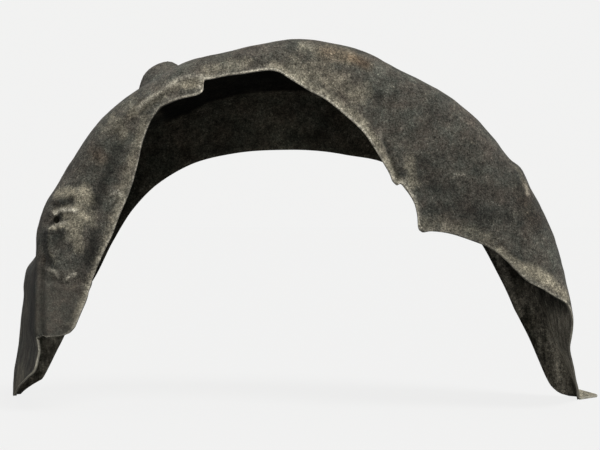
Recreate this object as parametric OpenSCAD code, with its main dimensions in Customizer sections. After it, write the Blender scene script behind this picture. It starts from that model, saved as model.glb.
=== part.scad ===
/* [Felt] */
// Thickness of the pressed felt
felt = 3.6; // [2.5:0.1:6]

/* [Overall size] */
// Distance from the inboard face to the outboard lip
depth = 240; // [200:5:300]
// Radius of the wheel opening at the outboard lip
lip_radius = 365; // [340:1:385]
// Radius of the inboard shoulder over the wheel
crown_radius = 515; // [500:1:540]
// Radius of the outboard corner over the wheel
corner_radius = 448; // [435:1:465]
// Wheel axis from the middle of the part
axis_x = -16.5; // [-25:0.5:25]

/* [Section] */
// Length that the inboard shoulder is rounded over
shoulder_blend = 58; // [30:1:70]
// Length that the outboard corner is rounded over
corner_blend = 26; // [10:1:40]
// Draft angle of the inboard flank
flank_draft = 4; // [1:0.5:8]
// Lean of the outboard flank, from the corner to the lip
outer_lean = 16; // [6:1:30]
// Width of the turned lip
lip_turn = 9; // [4:0.5:14]
// Angle that the lip is turned outboard
lip_angle = 40; // [15:1:60]

/* [Dome] */
// Height of the clearance dome on the top
dome_rise = 31; // [10:1:45]
// Half width of the dome at its foot
dome_reach = 48; // [35:1:65]
// Width of the dome's side
dome_side = 32; // [20:1:35]
// Angle of the dome round the arch
dome_angle = 112; // [100:0.5:120]
// Distance of the dome from the inboard face
dome_y = 110; // [90:1:150]

/* [Crease over the skirt] */
// Height of the crease that the front skirt hangs from
crease_rise = 5; // [0:0.5:8]
// Width of the crease's steep side, towards the edge
crease_below = 12; // [9:1:20]
// Width of the crease's gentle side, towards the shoulder
crease_above = 30; // [15:1:40]

/* [Fixing hole] */
// Diameter of the fixing hole
hole_d = 9; // [5:0.5:11]
// Diameter of the flat seat round the hole
seat_d = 15; // [13:1:19]
// Thickness of the flat seat
seat_t = 4.5; // [3.5:0.1:7]
// Angle of the hole round the arch
hole_angle = 140.5; // [137:0.5:144]
// Distance of the hole from the edge of the flank
hole_up = 82; // [70:1:88]
// Depth of the dimple round the seat
dimple_depth = 4; // [0:0.5:6]
// Half width of the dimple
dimple_reach = 26; // [18:1:40]
// Height of the raised hood over the hole
hood_rise = 5; // [0:0.5:6]
// Distance of the hood from the hole
hood_up = 13; // [12:0.5:18]
// Half width of the hood
hood_reach = 7; // [5:0.5:9]

/* [Foot tab] */
// How far the foot tab stands out
tab_out = 20; // [14:1:26]
// Length of the foot tab along the foot
tab_l = 45; // [34:1:50]

/* [Hidden] */

inboard_y = -depth / 2;
outboard_y = depth / 2;
felt_color = [0.27, 0.26, 0.24];

// Angles run round the wheel axis, from the rear foot at 0 over the top to the front foot at 180.
rear_angle = 0;
front_angle = 179.6;

// Each line below is a list of angles, with what is added there in thousandths of its radius.

// Edge of the inboard flank, over the lip radius
edge_line = [
    [21.5, 88], [22.8, 71], [24, 52], [26.5, 22], [30, -19], [36, -41], [39, -52], [45, -96],
    [49, -126], [53, -164], [54.6, -184], [55.2, -184], [58, -140], [60, -110], [63.5, -79],
    [64.8, -71], [65.4, -82], [69, -41], [72, 3], [76, 63], [80, 104], [84, 148], [87, 181], [90, 219],
    [92.5, 252], [94, 258], [98, 255], [101, 258], [104.6, 258], [105.4, 222], [106.5, 214],
    [109, 219], [112.5, 222], [115, 197], [117, 164], [119, 126], [121, 82], [124, 30], [127, -8],
    [131, -44], [135, -77], [140, -101], [146, -126], [152, -148], [157.5, -151], [159.5, -142],
    [160.8, -121], [162.2, -60], [162.6, -27]
];

// Inboard shoulder, over the crown radius
shoulder_line = [
    [0, -276], [3, -252], [7, -249], [12.5, -256], [18, -229], [21.5, -216], [25, -200], [30, -177],
    [37, -150], [43, -128], [47, -109], [49, -113], [53, -97], [58, -74], [64, -56], [70, -47],
    [75, -31], [78, -16], [82, -4], [88.5, 6], [95, -7], [102, -17], [106, -18], [110, -29],
    [118, -49], [122, -62], [130, -105], [136, -136], [140, -148], [144, -173], [149, -225],
    [152, -249], [156, -274], [160, -295], [162.5, -303], [164, -315], [166.4, -330], [170, -330],
    [172, -324], [180, -320]
];

// Outboard corner, over the corner radius
corner_line = [
    [0, -56], [3, -69], [7, -94], [13, -121], [21, -129], [32, -80], [45, -36], [60, 0], [75, 9],
    [90, 0], [105, 0], [113, -13], [122, -13], [134, -27], [147, -47], [151, -40], [154, -29],
    [156, -36], [160, -58], [166, -76], [170, -83], [180, -85]
];

// Outboard lip, over the lip radius
lip_line = [
    [0, 123], [0.7, 88], [1.1, 77], [3, 44], [8, 12], [14, -11], [19, -27], [22, -33], [30, -30],
    [38, -16], [50, 11], [60, 19], [69, 18], [78, 3], [91, 0], [104, 14], [114, 27], [122, 21],
    [130, 0], [139, -36], [149, -63], [158, -55], [165, -42], [170, -21], [174.4, 5], [176, 21],
    [176.5, 38], [178.3, 82], [180, 110]
];

// Crease over the front skirt, over the lip radius
crease_line = [
    [104.8, 267], [106.8, 284], [108.4, 288], [110, 280], [112, 271], [114, 262], [116, 258],
    [118, 250], [121, 235], [125, 210], [129, 180]
];
crease_start_angle = 104;
crease_end_angle = 129;
crease_rear_angle = 1.2;
crease_front_angle = 12;

// Shallow groove beside the edge of the front flank, over the lip radius
groove_line = [[116, 189], [121, 175], [126, 145], [133, 68], [139, 0]];
groove_start_angle = 115;
groove_end_angle = 140;
groove_fade_angle = 7;
groove_reach = 24;
groove_depth = 4;

// Share of the shoulder and tread that is cut away at the feet, where there is no flank
foot_cut_line = [
    [0, 0.95], [3, 0.79], [7, 0.56], [12.5, 0.35], [18, 0.24], [21.5, 0.19], [162.6, 0.08],
    [166, 0.15], [170, 0.18], [171.2, 0.22], [172.6, 0.33], [174.5, 0.5], [177, 0.74], [180, 0.985]
];

// Rounding of the shoulder, as a share of its full length: both legs have a sharper fold
fold_line = [[8, 0.25], [20, 0.4], [30, 1], [142, 1], [150, 0.6], [157, 0.22], [180, 0.15]];

// The outboard corner gets sharper towards the tip of the front foot
tip_angle = 168;
tip_sharpness = 0.85;

// Stations round the arch: where each span starts, and the angle between its stations
spans = [
    [0, 2], [18, 2.6], [53, 0.65], [55.6, 2.1], [64, 0.5], [66, 2.6], [96, 1.6], [104.2, 0.5],
    [106.2, 1.4], [128, 1.9], [134, 1], [146, 2], [159.2, 0.65], [162.6, 1.8], [168, 2]
];

// Segments across the section: flank to tread, corner, outer flank
near_n = 16;
corner_n = 4;
outer_n = 2;
// Share of those segments that a length of flank, shoulder or tread takes
flank_weight = 0.4;
shoulder_weight = 1;
tread_weight_line = [[95, 0.5], [101, 0.8], [124, 0.8], [132, 0.25], [148, 0.25], [154, 0.5]];

tab_corner = 4;
tab_turn = [7, 14, -16];

cutter_l = 60;
probe_angle = 0.5;
probe_l = 3;

function ease(t) = t <= 0 ? 0 : t >= 1 ? 1 : t * t * (3 - 2 * t);
function bell(d, reach) = abs(d) >= reach ? 0 : (1 + cos(180 * d / reach)) / 2;
function unit(v) = v / norm(v);
function mix(a, b, t) = a + (b - a) * t;

// Smooth line through the points of a list, with no overshoot between them
function rate(p, i) = (p[i + 1][1] - p[i][1]) / (p[i + 1][0] - p[i][0]);
function slope(p, i) =
    i == 0 ? rate(p, 0)
    : i == len(p) - 1 ? rate(p, i - 1)
    : rate(p, i - 1) * rate(p, i) <= 0 ? 0
    : 2 * rate(p, i - 1) * rate(p, i) / (rate(p, i - 1) + rate(p, i));
function span_of(p, x) = max(0, min(len(p) - 2, len([for (q = p) if (q[0] <= x) 1]) - 1));
function hermite(y0, y1, m0, m1, h, t) =
    y0 * (1 + 2 * t) * (1 - t) * (1 - t) + h * m0 * t * (1 - t) * (1 - t)
    + y1 * t * t * (3 - 2 * t) - h * m1 * t * t * (1 - t);
function along(p, x, i, h) =
    hermite(p[i][1], p[i + 1][1], slope(p, i), slope(p, i + 1), h, (x - p[i][0]) / h);
function at(p, x) =
    x <= p[0][0] ? p[0][1]
    : x >= p[len(p) - 1][0] ? p[len(p) - 1][1]
    : along(p, x, span_of(p, x), p[span_of(p, x) + 1][0] - p[span_of(p, x)][0]);
function over(radius, line, a) = radius * (1 + at(line, a) / 1000);

// Corners of the moulded section at an angle, as [y, radius]
function edge_radius(a) = over(lip_radius, edge_line, a);
lowest_edge = lip_radius * (1 + min([for (e = edge_line) e[1]]) / 1000);
function flank_y(radius) = inboard_y + (radius - lowest_edge) * tan(flank_draft);
function on_flank(radius) = [flank_y(radius), radius];
function shoulder_point(a) = on_flank(over(crown_radius, shoulder_line, a));
function corner_point(a) = [outboard_y - outer_lean, over(corner_radius, corner_line, a)];
function lip_end(a) = [outboard_y, over(lip_radius, lip_line, a)];
function lip_fold(a) = lip_end(a) + lip_turn * [-sin(lip_angle), cos(lip_angle)];
function has_flank(a) = a >= edge_line[0][0] && a <= edge_line[len(edge_line) - 1][0];

// Rounded corner between two sides, cut back by a length on each
function cut_back(from, to, reach) = from + unit(to - from) * min(reach, norm(to - from) * 0.45);
function blend(p0, p1, p2, t) = (1 - t) * (1 - t) * p0 + 2 * t * (1 - t) * p1 + t * t * p2;
function line_to(p0, p1, n) = [for (i = [1:n]) mix(p0, p1, i / n)];

// Flank, shoulder and tread as one path: 0 is the foot of the rounded shoulder, and the flank is below 0
flank_way = [sin(flank_draft), cos(flank_draft)];
function round_cost(b1, b, b2) = shoulder_weight * (norm(b - b1) + norm(b2 - b));
function tread_cost(a, b2, c1) = at(tread_weight_line, a) * norm(c1 - b2);
function path_at(a, b1, b, b2, c1, q) =
    q < 0 ? b1 + flank_way * q / flank_weight
    : q < round_cost(b1, b, b2) ? blend(b1, b, b2, q / round_cost(b1, b, b2))
    : b2 + unit(c1 - b2) * (q - round_cost(b1, b, b2)) / at(tread_weight_line, a);
// Place on the rounded shoulder where it reaches a radius
function blend_where(r0, r1, r2, r) =
    let (k = r0 - 2 * r1 + r2, h = r1 - r0, c = r0 - r)
    abs(k) < 0.001 ? -c / (2 * h) : (-h + sqrt(max(0, h * h - k * c))) / k;
function edge_cost(a, b1, b, b2, c1) =
    !has_flank(a) ? at(foot_cut_line, a) * (round_cost(b1, b, b2) + tread_cost(a, b2, c1))
    : edge_radius(a) < b1[1] ? (edge_radius(a) - b1[1]) / flank_way[1] * flank_weight
    : blend_where(b1[1], b[1], b2[1], edge_radius(a)) * round_cost(b1, b, b2);

// Section line from the inboard edge to the lip
function section_of(a, b, c, e, f, fold, bend) =
    let (b1 = b - flank_way * fold, b2 = cut_back(b, c, fold))
    let (c1 = cut_back(c, b, bend), c2 = cut_back(c, e, bend))
    let (q0 = edge_cost(a, b1, b, b2, c1), q1 = round_cost(b1, b, b2) + tread_cost(a, b2, c1))
    concat([for (i = [0:near_n]) path_at(a, b1, b, b2, c1, mix(q0, q1, i / near_n))],
        [for (i = [1:corner_n]) blend(c1, c, c2, i / corner_n)], line_to(c2, e, outer_n), [f]);
function corner_bend(a) =
    corner_blend * (1 - tip_sharpness * ease((a - tip_angle) / (front_angle - tip_angle)));
function section(a) =
    section_of(a, shoulder_point(a), corner_point(a), lip_fold(a), lip_end(a),
        shoulder_blend * at(fold_line, a), corner_bend(a));
section_n = near_n + corner_n + outer_n + 2;

// Outward direction of a section line at one of its points
function outward(s, i) = let (t = unit(s[min(i + 1, section_n - 1)] - s[max(i - 1, 0)])) [-t[1], t[0]];

// Pressed relief over the plain section: clearance dome, skirt crease, groove, and the hole's dimple and hood
function arc_mm(a, a0, radius) = (a - a0) * radius * PI / 180;
function dome(a, p) =
    let (away = norm([arc_mm(a, dome_angle, p[1]), p[0] - inboard_y - dome_y]))
    dome_rise * ease((dome_reach - away) / dome_side);
function crease(a, p) =
    let (up = p[1] - over(lip_radius, crease_line, a))
    p[0] > 0 ? 0
    : crease_rise * ease(1 - (up < 0 ? -up / crease_below : up / crease_above))
        * ease((a - crease_start_angle) / crease_rear_angle)
        * ease((crease_end_angle - a) / crease_front_angle);
function groove(a, p) =
    p[0] > 0 ? 0
    : -groove_depth * bell(p[1] - over(lip_radius, groove_line, a), groove_reach)
        * ease((a - groove_start_angle) / groove_fade_angle)
        * ease((groove_end_angle - a) / groove_fade_angle);
hole_radius = edge_radius(hole_angle) + hole_up;
hole_point = point_of(section(hole_angle), place_of(section(hole_angle), hole_radius));
function from_hole(a, p) =
    [arc_mm(a, hole_angle, p[1]), (p[1] < hole_point[1] ? -1 : 1) * norm(p - hole_point)];
function dimple(away) = -dimple_depth * ease((dimple_reach - away) / (dimple_reach - seat_d / 2));
function hood(v, away) =
    let (up = v[1] * sin(hole_angle) + v[0] * cos(hole_angle))
    away <= hood_up - hood_reach ? 0 : hood_rise * bell(away - hood_up, hood_reach) * max(0, up / away);
function relief(a, p) =
    let (v = from_hole(a, p), away = norm(v))
    dome(a, p) + crease(a, p) + groove(a, p) + dimple(away) + hood(v, away);

// Outer skin and inner skin of a section, still as [y, radius]
function outer_line(a, s) = [for (i = [0:section_n - 1]) s[i] + outward(s, i) * relief(a, s[i])];
function inner_line(o) = [for (i = [0:section_n - 1]) o[i] - outward(o, i) * felt];
function in_space(a, p) = [axis_x + p[1] * cos(a), p[0], p[1] * sin(a)];

// Angles of the stations round the arch
function span_stations(k) =
    let (from = spans[k][0], to = k + 1 < len(spans) ? spans[k + 1][0] : front_angle)
    let (n = ceil((to - from) / spans[k][1]))
    [for (i = [0:n - 1]) mix(from, to, i / n)];
stations = concat([for (k = [0:len(spans) - 1]) each span_stations(k)], [front_angle]);
station_n = len(stations);

outer_rings = [for (a = stations) outer_line(a, section(a))];

// Shell of felt, as an outer skin, an inner skin and the cut edges between them
module shell() {
    outer = [for (j = [0:station_n - 1]) for (p = outer_rings[j]) in_space(stations[j], p)];
    inner = [for (j = [0:station_n - 1]) for (p = inner_line(outer_rings[j])) in_space(stations[j], p)];
    inner_from = station_n * section_n;
    last_i = section_n - 1;
    last_j = station_n - 1;
    skins = [for (j = [0:last_j - 1]) for (i = [0:last_i - 1])
        let (a = j * section_n + i, b = a + section_n, c = b + 1, d = a + 1, k = inner_from)
        each [[a, b, c], [a, c, d], [a + k, c + k, b + k], [a + k, d + k, c + k]]];
    edge_rims = [for (j = [0:last_j - 1])
        let (a = j * section_n, b = a + section_n, c = a + last_i, d = b + last_i, k = inner_from)
        each [[a, a + k, b + k], [a, b + k, b], [c, d + k, c + k], [c, d, d + k]]];
    end_rims = [for (i = [0:last_i - 1])
        let (a = i, b = i + 1, c = last_j * section_n + i, d = c + 1, k = inner_from)
        each [[a, b, b + k], [a, b + k, a + k], [c, d + k, d], [c, c + k, d + k]]];
    polyhedron(concat(outer, inner), concat(skins, edge_rims, end_rims), convexity = 8);
}

// Point on the outer skin, at an angle and a place along the section
function point_of(s, u) = mix(s[floor(u)], s[floor(u) + 1], u - floor(u));
function place_of(s, radius) =
    let (i = min([for (k = [1:section_n - 1]) if (s[k][1] > radius || k == section_n - 1) k]) - 1)
    i + (radius - s[i][1]) / (s[i + 1][1] - s[i][1]);
function on_skin(a, u) = in_space(a, point_of(outer_line(a, section(a)), u));
function skin_at(a, radius) = on_skin(a, place_of(section(a), radius));
function skin_frame(a, radius) =
    let (round_way = unit(skin_at(a + probe_angle, radius) - skin_at(a - probe_angle, radius)))
    let (across = skin_at(a, radius + probe_l) - skin_at(a, radius - probe_l))
    let (out = unit(cross(across, round_way)))
    [round_way, cross(out, round_way), out, skin_at(a, radius)];
module on_felt(a, radius) {
    f = skin_frame(a, radius);
    multmatrix([
        [f[0][0], f[1][0], f[2][0], f[3][0]],
        [f[0][1], f[1][1], f[2][1], f[3][1]],
        [f[0][2], f[1][2], f[2][2], f[3][2]],
        [0, 0, 0, 1]
    ]) children();
}

// Flat tab turned out along the rear foot, widest at its outboard end
tab_root = in_space(rear_angle, section(rear_angle)[0]);
module foot_tab() {
    translate(tab_root)
    rotate(tab_turn)
    linear_extrude(felt)
    polygon([
        [-felt, 0],
        [0, 0],
        [tab_out - tab_corner, tab_l - 3 * tab_corner],
        [tab_out, tab_l - tab_corner],
        [tab_out - tab_corner / 2, tab_l],
        [-3 * felt, tab_l]
    ]);
}

// Flat seat of the fixing hole, a little thicker than the felt and wider than the opening made for it
seat_overlap = 1;
module hole_seat() {
    translate([0, 0, -seat_t]) cylinder(d = seat_d + 2 * seat_overlap, h = seat_t, $fn = 48);
}

module liner() {
    color(felt_color)
    difference() {
        union() {
            foot_tab();
            difference() {
                shell();
                on_felt(hole_angle, hole_radius) cylinder(d = seat_d, h = cutter_l, center = true, $fn = 48);
            }
            on_felt(hole_angle, hole_radius) hole_seat();
        }
        on_felt(hole_angle, hole_radius) cylinder(d = hole_d, h = cutter_l, center = true, $fn = 48);
    }
}

liner();
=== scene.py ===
"""Looks of a moulded felt wheel arch liner: its fine skin, worn felt, pale floor, soft light and camera."""

import bmesh
import bpy
import numpy as np
from mathutils import Euler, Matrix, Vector, noise


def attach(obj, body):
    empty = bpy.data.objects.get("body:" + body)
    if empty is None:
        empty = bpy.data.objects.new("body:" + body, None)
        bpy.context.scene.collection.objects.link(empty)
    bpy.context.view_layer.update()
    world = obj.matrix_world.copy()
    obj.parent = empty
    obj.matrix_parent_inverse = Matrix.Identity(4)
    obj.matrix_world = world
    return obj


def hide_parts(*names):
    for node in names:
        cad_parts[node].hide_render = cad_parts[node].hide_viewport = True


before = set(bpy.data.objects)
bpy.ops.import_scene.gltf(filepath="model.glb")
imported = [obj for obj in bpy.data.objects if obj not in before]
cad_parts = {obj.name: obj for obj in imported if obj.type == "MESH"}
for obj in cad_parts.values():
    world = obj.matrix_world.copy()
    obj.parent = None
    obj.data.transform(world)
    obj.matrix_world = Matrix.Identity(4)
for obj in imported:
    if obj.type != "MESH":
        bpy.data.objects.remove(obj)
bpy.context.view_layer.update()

MM = 0.001

# Sizes in millimetres and angles in degrees, the same as in the part's source.
FELT = 3.6
INBOARD_Y = -120.0
OUTBOARD_Y = 120.0
LIP_RADIUS = 365.0
CROWN_RADIUS = 515.0
CORNER_RADIUS = 448.0
AXIS_X = -16.5
SHOULDER_BLEND = 58.0
CORNER_BLEND = 26.0
FLANK_DRAFT = np.radians(4.0)
OUTER_LEAN = 16.0
LIP_TURN = 9.0
LIP_ANGLE = np.radians(40.0)
# Dome on the tread
DOME_RISE, DOME_REACH, DOME_SIDE, DOME_ANGLE, DOME_Y = 31.0, 48.0, 32.0, 112.0, 110.0
# Fixing hole with its flat seat, dimple and hood
HOLE_D, SEAT_D, SEAT_T, HOLE_ANGLE, HOLE_UP = 9.0, 15.0, 4.5, 140.5, 82.0
DIMPLE_DEPTH, DIMPLE_REACH = 4.0, 26.0
HOOD_RISE, HOOD_UP, HOOD_REACH = 5.0, 13.0, 7.0
# Tab at the rear foot
TAB_OUT, TAB_L, TAB_CORNER, TAB_TURN = 20.0, 45.0, 4.0, (7.0, 14.0, -16.0)
# The two ends of the arch, and the tip of the front foot, where the outboard corner gets sharper
REAR_ANGLE, FRONT_ANGLE = 0.0, 179.6
TIP_ANGLE, TIP_SHARPNESS = 168.0, 0.85

# Each line below is a list of angles, with what is added there in thousandths of its radius.

# Edge of the inboard flank, over the lip radius. It differs from the source in two places: from 80 to 87
# degrees the edge lies up to 3 mm higher, and at the last two angles 4 and 8 mm nearer to the wheel axis.
EDGE_LINE = [
    (21.5, 88), (22.8, 71), (24, 52), (26.5, 22), (30, -19), (36, -41), (39, -52), (45, -96),
    (49, -126), (53, -164), (54.6, -184), (55.2, -184), (58, -140), (60, -110), (63.5, -79),
    (64.8, -71), (65.4, -82), (69, -41), (72, 3), (76, 63), (80, 108), (84, 155), (87, 182), (90, 219),
    (92.5, 252), (94, 258), (98, 255), (101, 258), (104.6, 258), (105.4, 222), (106.5, 214),
    (109, 219), (112.5, 222), (115, 197), (117, 164), (119, 126), (121, 82), (124, 30), (127, -8),
    (131, -44), (135, -77), (140, -101), (146, -126), (152, -148), (157.5, -151), (159.5, -142),
    (160.8, -121), (162.2, -71), (162.6, -50),
]
# Inboard shoulder, over the crown radius
SHOULDER_LINE = [
    (0, -276), (3, -252), (7, -249), (12.5, -256), (18, -229), (21.5, -216), (25, -200), (30, -177),
    (37, -150), (43, -128), (47, -109), (49, -113), (53, -97), (58, -74), (64, -56), (70, -47),
    (75, -31), (78, -16), (82, -4), (88.5, 6), (95, -7), (102, -17), (106, -18), (110, -29),
    (118, -49), (122, -62), (130, -105), (136, -136), (140, -148), (144, -173), (149, -225),
    (152, -249), (156, -274), (160, -295), (162.5, -303), (164, -315), (166.4, -330), (170, -330),
    (172, -324), (180, -320),
]
# Outboard corner, over the corner radius
CORNER_LINE = [
    (0, -56), (3, -69), (7, -94), (13, -121), (21, -129), (32, -80), (45, -36), (60, 0), (75, 9),
    (90, 0), (105, 0), (113, -13), (122, -13), (134, -27), (147, -47), (151, -40), (154, -29),
    (156, -36), (160, -58), (166, -76), (170, -83), (180, -85),
]
# Outboard lip, over the lip radius
LIP_LINE = [
    (0, 123), (0.7, 88), (1.1, 77), (3, 44), (8, 12), (14, -11), (19, -27), (22, -33), (30, -30),
    (38, -16), (50, 11), (60, 19), (69, 18), (78, 3), (91, 0), (104, 14), (114, 27), (122, 21),
    (130, 0), (139, -36), (149, -63), (158, -55), (165, -42), (170, -21), (174.4, 5), (176, 21),
    (176.5, 38), (178.3, 82), (180, 110),
]
# Crease over the front skirt, over the lip radius
CREASE_LINE = [
    (104.8, 267), (106.8, 284), (108.4, 288), (110, 280), (112, 271), (114, 262), (116, 258),
    (118, 250), (121, 235), (125, 210), (129, 180),
]
CREASE_RISE, CREASE_BELOW, CREASE_ABOVE = 5.0, 12.0, 30.0
CREASE_START, CREASE_END, CREASE_REAR_FADE, CREASE_FRONT_FADE = 104.0, 129.0, 1.2, 12.0
# Groove beside the edge of the front flank, over the lip radius
GROOVE_LINE = [(116, 189), (121, 175), (126, 145), (133, 68), (139, 0)]
GROOVE_START, GROOVE_END, GROOVE_FADE, GROOVE_REACH, GROOVE_DEPTH = 115.0, 140.0, 7.0, 24.0, 4.0

# Share of the shoulder and tread that is cut away at the feet, where there is no flank
FOOT_CUT_LINE = [
    (0, 0.95), (3, 0.79), (7, 0.56), (12.5, 0.35), (18, 0.24), (21.5, 0.19), (162.6, 0.08),
    (166, 0.15), (170, 0.18), (171.2, 0.22), (172.6, 0.33), (174.5, 0.5), (177, 0.74), (180, 0.985),
]
# Rounding of the shoulder, as a share of its full length
FOLD_LINE = [(8, 0.25), (20, 0.4), (30, 1), (142, 1), (150, 0.6), (157, 0.22), (180, 0.15)]
# Share of a section's steps that a length of flank, shoulder or tread takes
FLANK_WEIGHT, SHOULDER_WEIGHT, FOOT_TREAD_WEIGHT = 0.4, 1.0, 0.5
# The most of a side that a rounded corner takes
MOST_OF_SIDE = 0.45
# Less bend than this in a curve counts as straight.
STRAIGHT = 0.001

# Fine grid of the skin: where each span of stations round the arch starts, and the angle between its stations
SPANS = [
    (0, 0.62), (53, 0.3), (55.6, 0.62), (64, 0.25), (66, 0.62), (104.2, 0.25), (106.2, 0.62),
    (136.5, 0.4), (144.5, 0.62), (159.2, 0.25), (162.6, 0.62),
]
# Points across the section: flank to corner, outer flank, lip, and across the cut edge
NEAR_N, OUTER_N, LIP_N, RIM_N = 96, 18, 5, 3
# Points before they are spaced out: on flank, shoulder and tread, and on the corner, which starts a little
# way along its curve so that no point is there twice
DENSE_N, CORNER_N, CORNER_FROM = 260, 50, 0.02
# Past this place the points get further apart, over a fade length.
FLANK_END_Y, FLANK_FADE = -60.0, 60.0
# How far the middle of a cut edge stands out
RIM_OUT = 0.9
# The flat seat in the grid: how many of its diameters it may reach, and how it runs out past its border
SEAT_SPACE, SEAT_RUN_OUT, SEAT_FADE = 2.0, 3.0, 4.0
# Half size, in grid steps, of the patch that holds the hole, and its rings on the way out from the seat
PATCH_ROWS, PATCH_COLS = 5, 5
PATCH_RINGS = (0.4, 0.7)
HOLE_ROUND = 0.5
# Smallest distance from the hole that its relief divides by
LEAST_AWAY = 0.01
# Angle from a foot's cut end over which the felt's thickness turns into the plane of the cut
SQUARE_ANGLE = 2.0
# Soft unevenness of the felt: size of the features, height and seed, and how it fades in from the long edges,
# in grid steps, and from the feet, in degrees
UNEVEN = [(70, 1.3, 1), (28, 0.7, 2), (12, 0.45, 3)]
UNEVEN_STEPS, UNEVEN_ANGLE = 6, 3
SEED_SHIFT = (7.3, 3.1, 5.7)
# The tab's edges are rounded by this much.
TAB_ROUND = 0.7


def ease(t):
    t = np.clip(t, 0, 1)
    return t * t * (3 - 2 * t)


def bell(distance, reach):
    return np.where(np.abs(distance) >= reach, 0, (1 + np.cos(np.pi * distance / reach)) / 2)


def between(x, start, start_fade, end, end_fade):
    """1 between start and end, with a fade inside each of them."""
    return ease((x - start) / start_fade) * ease((end - x) / end_fade)


def unit(v):
    return v / np.linalg.norm(v)


def at(line, x):
    """Smooth line through the points, with no overshoot between them."""
    px, py = np.array(line, float).T
    step = np.diff(px)
    rate = np.diff(py) / step
    slope = np.concatenate([[rate[0]], np.zeros(len(px) - 2), [rate[-1]]])
    same = rate[:-1] * rate[1:] > 0
    total = np.where(same, rate[:-1] + rate[1:], 1)
    slope[1:-1] = np.where(same, 2 * rate[:-1] * rate[1:] / total, 0)
    k = np.clip(np.searchsorted(px, x, side="right") - 1, 0, len(px) - 2)
    t = np.clip((x - px[k]) / step[k], 0, 1)
    return (py[k] * (1 + 2 * t) * (1 - t) ** 2 + step[k] * slope[k] * t * (1 - t) ** 2
            + py[k + 1] * t * t * (3 - 2 * t) - step[k] * slope[k + 1] * t * t * (1 - t))


def over(radius, line, a):
    return radius * (1 + at(line, a) / 1000)


def arc_mm(a, middle, radius):
    return (a - middle) * radius * np.pi / 180


LOWEST_EDGE = LIP_RADIUS * (1 + min(e[1] for e in EDGE_LINE) / 1000)
FLANK_WAY = np.array([np.sin(FLANK_DRAFT), np.cos(FLANK_DRAFT)])
HOLE_RADIUS = over(LIP_RADIUS, EDGE_LINE, HOLE_ANGLE) + HOLE_UP


def on_flank(radius):
    return np.array([INBOARD_Y + (radius - LOWEST_EDGE) * np.tan(FLANK_DRAFT), radius])


def cut_back(start, end, reach):
    return start + unit(end - start) * min(reach, np.linalg.norm(end - start) * MOST_OF_SIDE)


def curve(p0, p1, p2, t):
    t = np.asarray(t)[..., None]
    return (1 - t) ** 2 * p0 + 2 * t * (1 - t) * p1 + t * t * p2


def curve_where(r0, r1, r2, r):
    """Place on such a curve where it reaches a radius."""
    bend, rise, down = r0 - 2 * r1 + r2, r1 - r0, r0 - r
    if abs(bend) < STRAIGHT:
        return -down / (2 * rise)
    return (-rise + np.sqrt(max(0, rise * rise - bend * down))) / bend


def resample(points, n):
    """n + 1 points along a section line, twice as close together on the flank as on the tread."""
    step = np.linalg.norm(np.diff(points, axis=0), axis=1)
    step *= 2 - ease((points[1:, 0] - FLANK_END_Y) / FLANK_FADE)
    length = np.concatenate([[0], np.cumsum(step)])
    even = np.linspace(0, length[-1], n + 1)
    return np.stack([np.interp(even, length, points[:, k]) for k in (0, 1)], axis=1)


def section(a):
    """Outer line of the mould at an angle, from the inboard edge to the lip, as (y, radius)."""
    b = on_flank(over(CROWN_RADIUS, SHOULDER_LINE, a))
    c = np.array([OUTBOARD_Y - OUTER_LEAN, over(CORNER_RADIUS, CORNER_LINE, a)])
    f = np.array([OUTBOARD_Y, over(LIP_RADIUS, LIP_LINE, a)])
    e = f + LIP_TURN * np.array([-np.sin(LIP_ANGLE), np.cos(LIP_ANGLE)])
    fold = SHOULDER_BLEND * at(FOLD_LINE, a)
    corner = CORNER_BLEND * (1 - TIP_SHARPNESS * ease((a - TIP_ANGLE) / (FRONT_ANGLE - TIP_ANGLE)))
    b1, b2 = b - FLANK_WAY * fold, cut_back(b, c, fold)
    c1, c2 = cut_back(c, b, corner), cut_back(c, e, corner)
    round_cost = SHOULDER_WEIGHT * (np.linalg.norm(b - b1) + np.linalg.norm(b2 - b))
    tread_cost = FOOT_TREAD_WEIGHT * np.linalg.norm(c1 - b2)
    edge_radius = over(LIP_RADIUS, EDGE_LINE, a)
    if not EDGE_LINE[0][0] <= a <= EDGE_LINE[-1][0]:
        first = at(FOOT_CUT_LINE, a) * (round_cost + tread_cost)
    elif edge_radius < b1[1]:
        first = (edge_radius - b1[1]) / FLANK_WAY[1] * FLANK_WEIGHT
    else:
        first = curve_where(b1[1], b[1], b2[1], edge_radius) * round_cost
    q = np.linspace(first, round_cost + tread_cost, DENSE_N)[:, None]
    near = np.where(q < 0, b1 + FLANK_WAY * q / FLANK_WEIGHT,
                    np.where(q < round_cost, curve(b1, b, b2, q[:, 0] / round_cost),
                             b2 + unit(c1 - b2) * (q - round_cost) / FOOT_TREAD_WEIGHT))
    near = np.concatenate([near, curve(c1, c, c2, np.linspace(CORNER_FROM, 1, CORNER_N))])
    outer_flank = np.linspace(c2, e, OUTER_N + 1)[1:]
    lip = np.linspace(e, f, LIP_N + 1)[1:]
    return np.concatenate([resample(near, NEAR_N), outer_flank, lip])


def stations():
    steps = []
    ends = [start for start, _ in SPANS[1:]] + [FRONT_ANGLE]
    for (start, step), end in zip(SPANS, ends):
        steps.extend(np.linspace(start, end, int(round((end - start) / step)) + 1)[:-1])
    return np.array(steps + [FRONT_ANGLE])


def section_normals(rings):
    """Outward directions of each section line, as (y, radius)."""
    ahead = np.concatenate([rings[:, 1:], rings[:, -1:]], axis=1)
    behind = np.concatenate([rings[:, :1], rings[:, :-1]], axis=1)
    way = ahead - behind
    way /= np.linalg.norm(way, axis=2, keepdims=True)
    return np.stack([-way[..., 1], way[..., 0]], axis=2)


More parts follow.
